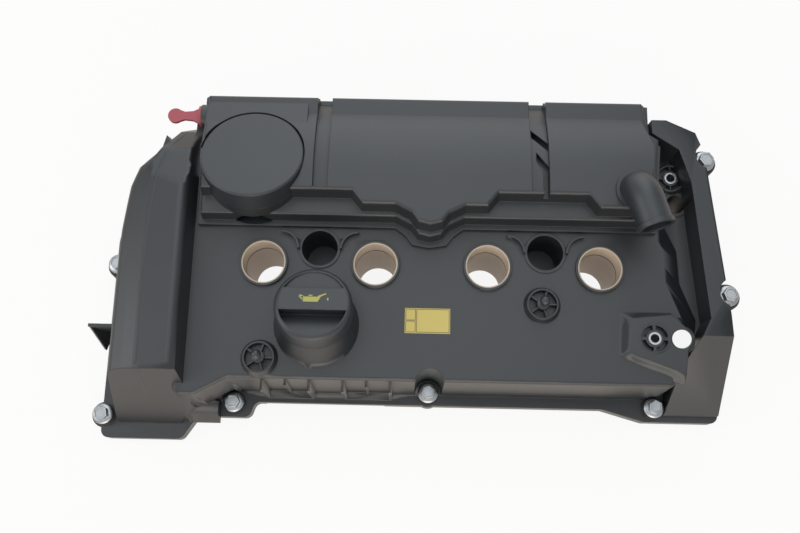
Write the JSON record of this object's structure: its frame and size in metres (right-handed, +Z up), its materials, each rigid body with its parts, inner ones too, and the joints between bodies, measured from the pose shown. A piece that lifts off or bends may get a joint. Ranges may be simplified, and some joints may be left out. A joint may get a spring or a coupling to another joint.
{
  "type": "engine valve cover",
  "caption": "Black moulded valve cover with lined plug wells, raised oil separator, round diaphragm valve cap, twist-off oil filler cap, vent elbow and loose flange bolts.",
  "frame": {"origin": "on the axis of the first plug well, at the flat joint face that seals to the cylinder head", "axes": "+X along the row of plug wells, away from the timing hump; +Y towards the oil separator; +Z up, out of the engine"},
  "size_m": [0.497, 0.2745, 0.1323],
  "materials": {
    "black_plastic": "moulded glass-filled nylon, satin",
    "cap_plastic": "moulded, fine grain",
    "beige_plastic": "moulded, smooth",
    "red_plastic": "moulded, smooth",
    "seal_rubber": "matt rubber",
    "zinc_steel": "zinc plated",
    "spring_steel": "bright drawn wire"
  },
  "bodies": {
    "cover": {"cover_body": "black_plastic", "separator_cover": "black_plastic", "diaphragm_cap": "black_plastic", "pcv_diaphragm": "seal_rubber", "pcv_spring": "spring_steel", "vent_elbow": "black_plastic", "elbow_seal": "seal_rubber", "transport_plug": "red_plastic", "main_gasket": "seal_rubber", "baffle_plate": "black_plastic", "baffle_screws": "zinc_steel", "cover_bolts": "zinc_steel", "bolt_sleeves": "zinc_steel", "bolt_grommets": "seal_rubber", "plug_tube_1": "beige_plastic", "tube_seal_1": "seal_rubber", "plug_gasket_1": "seal_rubber", "plug_tube_2": "beige_plastic", "tube_seal_2": "seal_rubber", "plug_gasket_2": "seal_rubber", "plug_tube_3": "beige_plastic", "tube_seal_3": "seal_rubber", "plug_gasket_3": "seal_rubber", "plug_tube_4": "beige_plastic", "tube_seal_4": "seal_rubber", "plug_gasket_4": "seal_rubber", "ball_stud_1": "black_plastic", "threaded_insert_1": "zinc_steel", "check_valve_1": "seal_rubber", "ball_stud_2": "black_plastic", "threaded_insert_2": "zinc_steel", "check_valve_2": "seal_rubber"},
    "filler_cap": {"oil_filler_cap": "cap_plastic", "oil_cap_seal": "seal_rubber"},
    "valve_plate": {"pcv_support_plate": "black_plastic"}
  },
  "joints": [
    {"name": "filler_cap_turn", "type": "hinge", "parent": "cover", "child": "filler_cap", "pos_m": [0.0415, -0.045, 0.072], "axis": [0, 0.2079, 0.9781], "range_deg": [-90, 0]},
    {"name": "valve_plate_travel", "type": "slide", "parent": "cover", "child": "valve_plate", "axis": [0, -0.289, -0.9573], "range_m": [0, 0.003], "stiffness_N_per_m": 60, "springref_m": -0.002, "deforming": ["pcv_spring", "pcv_diaphragm"]}
  ]
}
